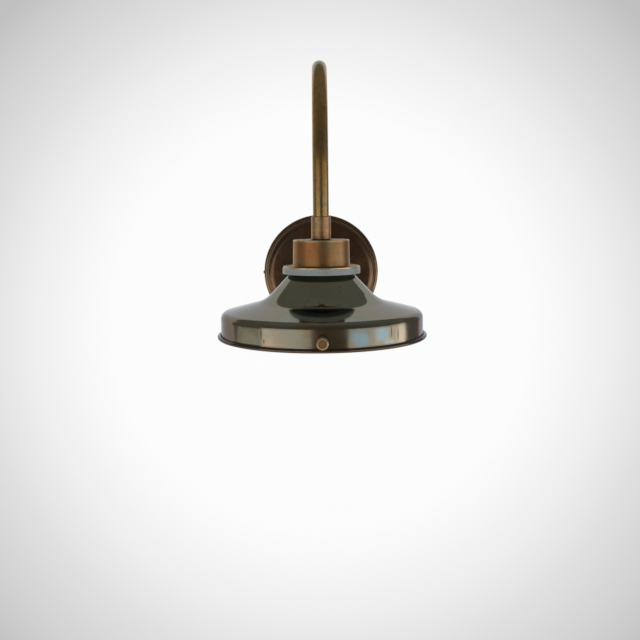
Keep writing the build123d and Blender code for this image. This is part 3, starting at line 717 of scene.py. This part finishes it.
# Shade: spun from one sheet, with a rolled bead round its rim
shadeForm = {"neckRadius": 26 * mm, "holeRadius": 22.4 * mm, "kneeRadius": 46.5 * mm,
             "kneeDrop": 22.0 * mm, "skirtRadius": 82.7 * mm, "shoulderDrop": 31.4 * mm,
             "sheet": 1.2 * mm, "neckRound": 1.5 * mm, "flareRound": 30 * mm, "shoulderRound": 5.8 * mm,
             "beadRadius": 1.55 * mm, "beadTop": 1.9, "curl": (150, -91, -12), "foldRise": 1.2,
             "foldRound": 0.8 * mm, "bossHole": 3.04 * mm, "drill": 2 * mm, "arcStep": 1.5,
             "step": 1.2 * mm, "foldStep": 0.8 * mm, "sides": 288, "screwHeight": 7.8 * mm,
             "screwTurns": {"front": -90, "right": 30, "left": 150}}


def shadeOutline():
    # the shade's outer face from the edge of its neck's hole to just above the bead
    form = shadeForm
    skirt, beadTop = form["skirtRadius"], rimHeight + form["beadTop"] * form["beadRadius"]
    corners = [(form["holeRadius"], neckHeight), (form["neckRadius"], neckHeight),
               (form["kneeRadius"], neckHeight - form["kneeDrop"]),
               (skirt, neckHeight - form["shoulderDrop"]), (skirt, beadTop)]
    rounds = [form["neckRound"], form["flareRound"], form["shoulderRound"]]
    return rounded(corners, rounds, form["arcStep"])


def atScrew(place):
    # frame of one thumb screw: its Z points out from the lamp's axis
    turn = math.radians(shadeForm["screwTurns"][place])
    centre = Matrix.Translation((0, lampY, rimHeight + shadeForm["screwHeight"]))
    return centre @ Matrix.Rotation(turn, 4, "Z") @ Matrix.Rotation(math.pi / 2, 4, "Y")


def makeShade():
    form = shadeForm
    wall, bead = form["sheet"], form["beadRadius"]
    skirt, rim = form["skirtRadius"], rimHeight
    outer = divided(shadeOutline(), form["step"])
    inner = shifted(outer, wall)[::-1]
    turns = [math.radians(a) for a in range(*form["curl"])]
    curl = [Vector((skirt + bead + bead * math.cos(turn), rim + bead + bead * math.sin(turn)))
            for turn in turns]
    within, foldTop = skirt - wall, rim + form["foldRise"] * bead
    fold = rounded([(skirt + bead, rim), (within, rim), (within, foldTop)], [form["foldRound"]])
    fold = divided(fold, form["foldStep"])[1:]
    shell = lathe("shadeShell", outer + curl + fold + inner, onLamp, form["sides"])
    low, high = within - form["drill"], skirt + form["drill"]
    return drilled(shell, [rodMesh("hole", form["bossHole"], low, high, atScrew(place))
                           for place in form["screwTurns"]])


# Lamp cap with its brim
capForm = {"topRadius": 22.95 * mm, "footRadius": 23.4 * mm, "height": 21.5 * mm,
           "brimRadius": 31.25 * mm, "edgeRound": 0.5 * mm, "creaseRound": 0.9 * mm,
           "rimRound": 0.25 * mm, "sheet": 1.2 * mm, "holeRadius": 5.15 * mm, "wearReach": 1.1 * mm,
           "arcStep": 10, "step": 0.8 * mm}


def makeCap():
    form = capForm
    top, wall, rim = capHigh.z, form["sheet"], form["rimRound"]
    foot = top - form["height"]
    hole, upper = form["holeRadius"], form["topRadius"]
    lower, brim, crease = form["footRadius"], form["brimRadius"], form["creaseRound"]
    corners = [(hole, top), (upper, top), (lower, foot), (brim, foot), (brim, foot - wall),
               (lower - wall, foot - wall), (upper - wall, top - wall), (hole, top - wall)]
    rounds = [form["edgeRound"], crease, rim, rim, crease + wall, rim]
    loop = divided(rounded(corners, rounds, form["arcStep"]), form["step"])
    return lathe("lampCap", loop, onLamp, wearReach=form["wearReach"])


# Ring gasket under the brim
gasketForm = {"radius": 31.85 * mm, "holeRadius": 22.4 * mm, "edge": 0.4 * mm,
              "innerEdge": 0.1 * mm, "step": 0.8 * mm, "sides": 160}


def makeGasket():
    form = gasketForm
    low, high = (corner.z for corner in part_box("neck_gasket"))
    hole, edge = form["holeRadius"], form["radius"]
    outline = rounded([(hole, low), (edge, low), (edge, high), (hole, high), (hole, low)],
                      [form["edge"], form["edge"], form["innerEdge"]])
    return lathe("neckGasket", divided(outline, form["step"])[:-1], onLamp, form["sides"])


# Arm: one bent tube
armForm = {"radius": 6.5 * mm, "wall": 1.2 * mm, "archRadius": 90 * mm, "footRadius": 24 * mm,
           "archCentre": 106 * mm, "footReach": 27 * mm, "start": 19 * mm, "end": 50 * mm,
           "footTurns": (3, 91, 3), "archTurns": (2, 181, 2), "step": 3 * mm}


def makeArm():
    form = armForm
    rearY = -(form["footReach"] + form["footRadius"])
    foot, arch, middle = form["footRadius"], form["archRadius"], form["archCentre"]
    path = [Vector((0, -form["start"], 0)), Vector((0, -form["footReach"], 0))]
    for turn in (math.radians(a) for a in range(*form["footTurns"])):
        reach = form["footReach"] + foot * math.sin(turn)
        path.append(Vector((0, -reach, foot * (1 - math.cos(turn)))))
    path.append(Vector((0, rearY, middle)))
    for turn in (math.radians(a) for a in range(*form["archTurns"])):
        path.append(Vector((0, rearY - arch * (1 - math.cos(turn)), middle + arch * math.sin(turn))))
    path.append(Vector((0, lampY, form["end"])))
    return sweptTube("gooseneckArm", divided(path, form["step"]), form["radius"], form["wall"])


# Glass pan: shallow, open upward, hung by its lip
panForm = {"radius": 73.5 * mm, "wall": 3.5 * mm, "aboveRim": 1.5 * mm, "corner": 6 * mm,
           "lipRadius": 78.5 * mm, "lipHeight": 2.8 * mm, "edge": 0.7 * mm, "step": 3 * mm}


def makeGlass():
    form = panForm
    low, lipTop = rimHeight + form["aboveRim"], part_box("glass_lens")[1].z
    outer, lip, edge, wall = form["radius"], form["lipRadius"], form["edge"], form["wall"]
    inner, lipLow, floor = outer - wall, lipTop - form["lipHeight"], low + wall
    loop = rounded([(0, low), (outer, low), (outer, lipLow), (lip, lipLow), (lip, lipTop),
                    (inner, lipTop), (inner, floor), (0, floor)],
                   [form["corner"], edge, edge, edge, edge, form["corner"] - wall])
    return lathe("glassPan", divided(loop, form["step"]), onLamp)


# Thumb screws: turned body, threaded shank and a knurled head
screwForm = {"boreRadius": 0.86 * mm, "boreDepth": 2.6 * mm, "inner": 75.9 * mm, "shank": 2 * mm,
             "lead": 0.3 * mm, "pitch": 0.7 * mm, "crest": 0.1 * mm, "threadDepth": 0.36 * mm,
             "neck": 84.4 * mm, "neckRadius": 3.3 * mm, "head": 85.4 * mm, "headLength": 5 * mm,
             "headRadius": 4.7 * mm, "ridgeSize": 0.36 * mm, "ridges": 24, "dish": 0.5 * mm,
             "dishRadius": 2.75 * mm, "dishSlope": 0.4 * mm, "wearReach": 0.5 * mm, "ridgeWorn": 0.8,
             "ridgeSides": 4, "sides": 96}


def makeRidgeTree():
    # a ring of straight ridges round a head, as knurling leaves them
    tree = bpy.data.node_groups.new("knurledRidges", "GeometryNodeTree")
    addSockets(tree, "INPUT", [("Ridges", "Int"), ("Radius", "Float"), ("Length", "Float"),
                               ("Size", "Float"), ("Material", "Material")])
    addSockets(tree, "OUTPUT", [("Geometry", "Geometry")])
    given = tree.nodes.new("NodeGroupInput").outputs

    def step(kind, inputs):
        node = tree.nodes.new(kind)
        fillSockets(tree, node, inputs)
        return node

    ring = step("GeometryNodeMeshCircle", {"Vertices": given["Ridges"], "Radius": given["Radius"]})
    ridge = step("GeometryNodeMeshCylinder", {
        "Vertices": screwForm["ridgeSides"], "Radius": given["Size"], "Depth": given["Length"]})
    place = step("GeometryNodeInputPosition", {}).outputs[0]
    aim = step("FunctionNodeAlignRotationToVector", {"Vector": place})
    aim.axis = "X"
    copies = step("GeometryNodeInstanceOnPoints", {
        "Points": ring.outputs["Mesh"], "Instance": ridge.outputs["Mesh"], "Rotation": aim.outputs[0]})
    real = step("GeometryNodeRealizeInstances", {0: copies.outputs[0]})
    coloured = step("GeometryNodeSetMaterial", {
        "Geometry": real.outputs[0], "Material": given["Material"]})
    step("NodeGroupOutput", {0: coloured.outputs[0]})
    return tree


def grownMesh(tree, values):
    # a plain mesh that the tree makes with the given inputs
    holder = linked("holder", bpy.data.meshes.new("holder"))
    grower = holder.modifiers.new("grow", "NODES")
    grower.node_group = tree
    for socket in tree.interface.items_tree:
        if socket.in_out == "INPUT":
            grower[socket.identifier] = values[socket.name]
    mesh = evaluatedMesh(holder)
    bpy.data.objects.remove(holder)
    return mesh


def screwOutline():
    form = screwForm
    bore, shank, inner, neck = form["boreRadius"], form["shank"], form["inner"], form["neck"]
    head, dish, slope = form["head"], form["dish"], form["dishSlope"]
    core, top = form["headRadius"] - form["ridgeSize"], head + form["headLength"]
    deep = inner + form["boreDepth"]
    loop = [(0, deep), (bore, deep), (bore, inner), (shank - form["lead"], inner)]
    level = inner + form["lead"]
    while level < neck - 2 * form["pitch"]:
        loop += [(shank, level), (shank, level + form["crest"]),
                 (shank - form["threadDepth"], level + form["pitch"] / 2)]
        level += form["pitch"]
    loop += [(shank, level), (shank, neck), (form["neckRadius"], neck), (form["neckRadius"], head),
             (core - dish, head), (core, head + dish), (core, top - dish), (core - dish, top),
             (form["dishRadius"] + slope, top), (form["dishRadius"], top - dish), (0, top - dish)]
    return [Vector(point) for point in loop]


def makeThumbScrew(place, ridgeTree, material):
    # turned body and knurled ridges as one mesh
    form = screwForm
    core, length = form["headRadius"] - form["ridgeSize"], form["headLength"] - 2 * form["dish"]
    body = lathe("turnedPart", screwOutline(), Matrix.Identity(4), form["sides"], form["wearReach"])
    ridges = grownMesh(ridgeTree, {"Ridges": form["ridges"], "Radius": core, "Length": length,
                                   "Size": form["ridgeSize"], "Material": material})
    ridges.transform(Matrix.Translation((0, 0, form["head"] + form["headLength"] / 2)))
    bm = bmesh.new()
    bm.from_mesh(body.data)
    bm.from_mesh(ridges)
    worn = bm.verts.layers.float["worn"]
    for vert in bm.verts:
        if math.hypot(vert.co.x, vert.co.y) > core + form["ridgeSize"] / 2:
            vert[worn] = form["ridgeWorn"]
    bm.transform(atScrew(place))
    bpy.data.objects.remove(body)
    return finishMesh(bm, "thumbScrew" + place.capitalize())


print("building main pieces")
brass = {name: agedBrass(name) for name in agedLooks}
shadeMetal = shadeBrass(neckHeight - shadeForm["shoulderDrop"])

dress(makePlate(), "wall_plate", "fixture", brass["plateBrass"])
dress(makeShade(), "shade", "fixture", shadeMetal)
dress(makeCap(), "lamp_cap", "fixture", brass["capBrass"])
dress(makeGasket(), "neck_gasket", "fixture", softMaterial("ringRubber"))
dress(makeArm(), "gooseneck_arm", "fixture", brass["armBrass"])
dress(makeGlass(), "glass_lens", "fixture", clearGlass("frostedGlass"))
ridgeTree = makeRidgeTree()
for place in shadeForm["screwTurns"]:
    screw = makeThumbScrew(place, ridgeTree, brass["capBrass"])
    dress(screw, "thumb_screw_" + place, "screw_" + place, brass["capBrass"])

print("dressing the smaller pieces")
plateReach = 60 * mm                  # a piece nearer the wall than this is turned about the plate
smallNodes = [
    ("turned_brass", brass["capBrass"], "arm_collar arm_coupler screw_bosses"),
    ("plain_brass", plainMetal("plainBrass"),
     "terminal_clamps rear_nipple rear_lock_nut front_nipple front_lock_nut shade_clamp_ring "
     "earth_screw"),
    ("steel", plainMetal("zincSteel"),
     "mounting_strap plate_side_screws terminal_screws block_fixing_screws rear_tooth_washer "
     "coupler_grub_screw lampholder_bracket lampholder_screws"),
    ("nickel", plainMetal("nickelPlate"),
     "earth_ring_tag earth_tab_washer lampholder_contacts lamp_pins"),
    ("clear_silicone", softMaterial("clearSilicone"), "glass_gasket"),
    ("white_nylon", softMaterial("whiteNylon"),
     "terminal_block wall_cable_bush lamp_cable_bush screw_tip_front screw_tip_right screw_tip_left"),
    ("ceramic", softMaterial("steatite"), "lampholder_body lamp_base"),
    ("lamp_glass", clearGlass("lampGlass"), "lamp_envelope"),
    ("brown_lead", softMaterial("brownLead"), "live_lead"),
    ("blue_lead", softMaterial("blueLead"), "neutral_lead"),
    ("green_lead", softMaterial("greenLead"), "earth_lead"),
]
for slotName, material, nodes in smallNodes:
    for node in nodes.split():
        first, *others = node.split("_")
        name = first + "".join(word.capitalize() for word in others)
        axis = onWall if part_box(node)[0].y > -plateReach else onLamp
        body = node.replace("screw_tip", "tip") if node.startswith("screw_tip") else "fixture"
        dress(smoothCopy(node, name, axis), node, body, material)


# Stage: floor, backdrop, lamps and camera
stageForm = {"floor": -0.42, "wallY": 0.9, "wallTop": 0.95, "front": -1.7, "bend": 0.35,
             "floorAcross": (-3.0, -2.2, 1.05, 3.0), "wallAcross": (-2.2, -2.2, 1.05, 1.05),
             "shadowShare": 0.09, "glossyPaper": rgb(0.95, 0.95, 0.94), "widestSlope": 0.6}
cameraForm = {"place": (-0.0012, -0.888, 0.0647), "pitch": 4.0, "roll": -0.6, "lens": 45.1,
              "sensor": 36, "shiftY": -0.080, "clip": (0.01, 50)}
# brightness of the paper backdrop by the tangent of the angle from the middle of the picture
backdropFade = [(0.26, 1.0), (0.30, 0.956), (0.361, 0.88), (0.395, 0.823), (0.425, 0.768),
                (0.507, 0.645), (0.558, 0.546)]


def makeCamera():
    form = cameraForm
    data = bpy.data.cameras.new("camera")
    data.lens, data.sensor_width, data.shift_y = form["lens"], form["sensor"], form["shiftY"]
    data.clip_start, data.clip_end = form["clip"]
    camera = linked("camera", data)
    tilt = Quaternion((1, 0, 0), math.radians(90 - form["pitch"]))
    camera.rotation_mode = "QUATERNION"
    camera.rotation_quaternion = tilt @ Quaternion((0, 0, 1), math.radians(form["roll"]))
    camera.location = form["place"]
    bpy.context.scene.camera = camera


def paperMaterial():
    # white paper that fades outward as the photograph's background does, and keeps shadows
    form = cameraForm
    middle = math.radians(form["pitch"]) + math.atan(-form["shiftY"] * form["sensor"] / form["lens"])
    aim = Vector((0, math.cos(middle), -math.sin(middle)))
    material = bpy.data.materials.new("paper")
    material.use_nodes = True
    tree = material.node_tree
    tree.nodes.clear()
    where = addNode(tree, "TexCoord").outputs["Object"]
    away = vectorMath(tree, "SUBTRACT", where, form["place"]).outputs[0]
    unit = vectorMath(tree, "NORMALIZE", away).outputs[0]
    angle = math2(tree, "ARCCOSINE", vectorMath(tree, "DOT_PRODUCT", unit, aim).outputs["Value"])
    slope = math2(tree, "TANGENT", math2(tree, "MINIMUM", angle, stageForm["widestSlope"]))
    ramp = addNode(tree, "ValToRGB", {"Fac": slope})
    stops = ramp.color_ramp.elements
    for stop, (position, level) in zip(stops, (backdropFade[0], backdropFade[-1])):
        stop.position, stop.color = position, rgb(level, level, level)
    for position, level in backdropFade[1:-1]:
        stops.new(position).color = rgb(level, level, level)
    ray = addNode(tree, "LightPath").outputs
    shown = mixColour(tree, ray["Is Glossy Ray"], ramp.outputs[0], stageForm["glossyPaper"])
    seen = math2(tree, "ADD", ray["Is Camera Ray"], ray["Is Glossy Ray"])
    seen = math2(tree, "ADD", seen, ray["Is Transmission Ray"], clamp=True)
    seen = times(tree, seen, 1 - stageForm["shadowShare"])
    glow = addNode(tree, "Emission", {"Color": shown, "Strength": 1.0}).outputs[0]
    paper = addNode(tree, "BsdfDiffuse", {"Color": ramp.outputs[0]}).outputs[0]
    mixed = addNode(tree, "MixShader", {0: seen, 1: paper, 2: glow}).outputs[0]
    tree.links.new(mixed, addNode(tree, "OutputMaterial").inputs["Surface"])
    return material


def makeSweep():
    # floor that curves up into a backdrop behind the wall plate
    form = stageForm
    bm = bmesh.new()
    wallY, bend = form["wallY"], form["bend"]
    path = rounded([(form["front"], form["floor"]), (wallY, form["floor"]), (wallY, form["wallTop"])],
                   [bend], arcStep=3)
    near = meshForm["mergeReach"]
    corner = next(i for i, point in enumerate(path) if point.x > wallY - bend - near)
    rows = []
    for i, point in enumerate(path):
        across = form["floorAcross" if i <= corner else "wallAcross"]
        rows.append([bm.verts.new((x, point.x, point.y)) for x in across])
    for low, high in zip(rows, rows[1:]):
        for k in range(len(low) - 1):
            if all((row[k].co - row[k + 1].co).length > near for row in (low, high)):
                bm.faces.new((low[k], low[k + 1], high[k + 1], high[k]))
    sweep = finishMesh(bm, "sweep", turnOut=False)
    sweep.data.materials.append(paperMaterial())


# light panels round the lamp's axis; turn is the angle from the front, to the right
lampForms = {
    "leftPanel": {"turn": -39.5, "width": 1.08, "level": 0.9},
    "rightPanel": {"turn": 52, "width": 0.93, "level": 0.9},
    "rightEdgePanel": {"turn": 89, "width": 0.40, "level": 1.15, "distance": 0.95, "high": 0.14},
    "overheadPanel": {"turn": -25, "width": 1.2, "level": 1.6, "distance": 1.1, "low": 1.0, "high": 2.2,
                      "glossy": False},
}


def softLamp(name, turn, width, level, distance=1.0, low=-0.40, high=0.12, glossy=True):
    height, middle = high - low, (low + high) / 2
    data = bpy.data.lights.new(name, "AREA")
    data.shape = "RECTANGLE"
    data.size, data.size_y = width, height
    data.energy = level * math.pi * width * height
    lamp = linked(name, data)
    around = math.radians(turn)
    lamp.location = (distance * math.sin(around), lampY - distance * math.cos(around), middle)
    toward = Vector((0, lampY, middle)) - lamp.location
    lamp.rotation_euler = toward.to_track_quat("-Z", "Y").to_euler()
    lamp.visible_camera = False
    lamp.visible_glossy = glossy


# the room: tones behind and in front of the object for reflections, for soft light and for the camera
roomForm = {"back": rgb(0.22, 0.235, 0.245), "front": rgb(0.13, 0.125, 0.12), "turnOver": (0.1, -0.8),
            "soft": rgb(0.6, 0.6, 0.6), "seen": rgb(0.56, 0.56, 0.56)}


def makeWorld():
    form = roomForm
    world = bpy.data.worlds.new("room")
    bpy.context.scene.world = world
    world.use_nodes = True
    tree = world.node_tree
    ray = addNode(tree, "LightPath").outputs
    toward = addNode(tree, "SeparateXYZ", {0: addNode(tree, "TexCoord").outputs["Generated"]}).outputs
    front = rangeOf(tree, toward[1], *form["turnOver"])
    room = mixColour(tree, front, form["back"], form["front"])
    shown = mixColour(tree, ray["Is Glossy Ray"], form["soft"], room)
    shown = mixColour(tree, ray["Is Camera Ray"], shown, form["seen"])
    tree.links.new(shown, tree.nodes["Background"].inputs["Color"])


makeCamera()
makeSweep()
makeWorld()
for name, lampForm in lampForms.items():
    softLamp(name, **lampForm)
bpy.context.scene.view_settings.view_transform = "Standard"
print("stage ready")
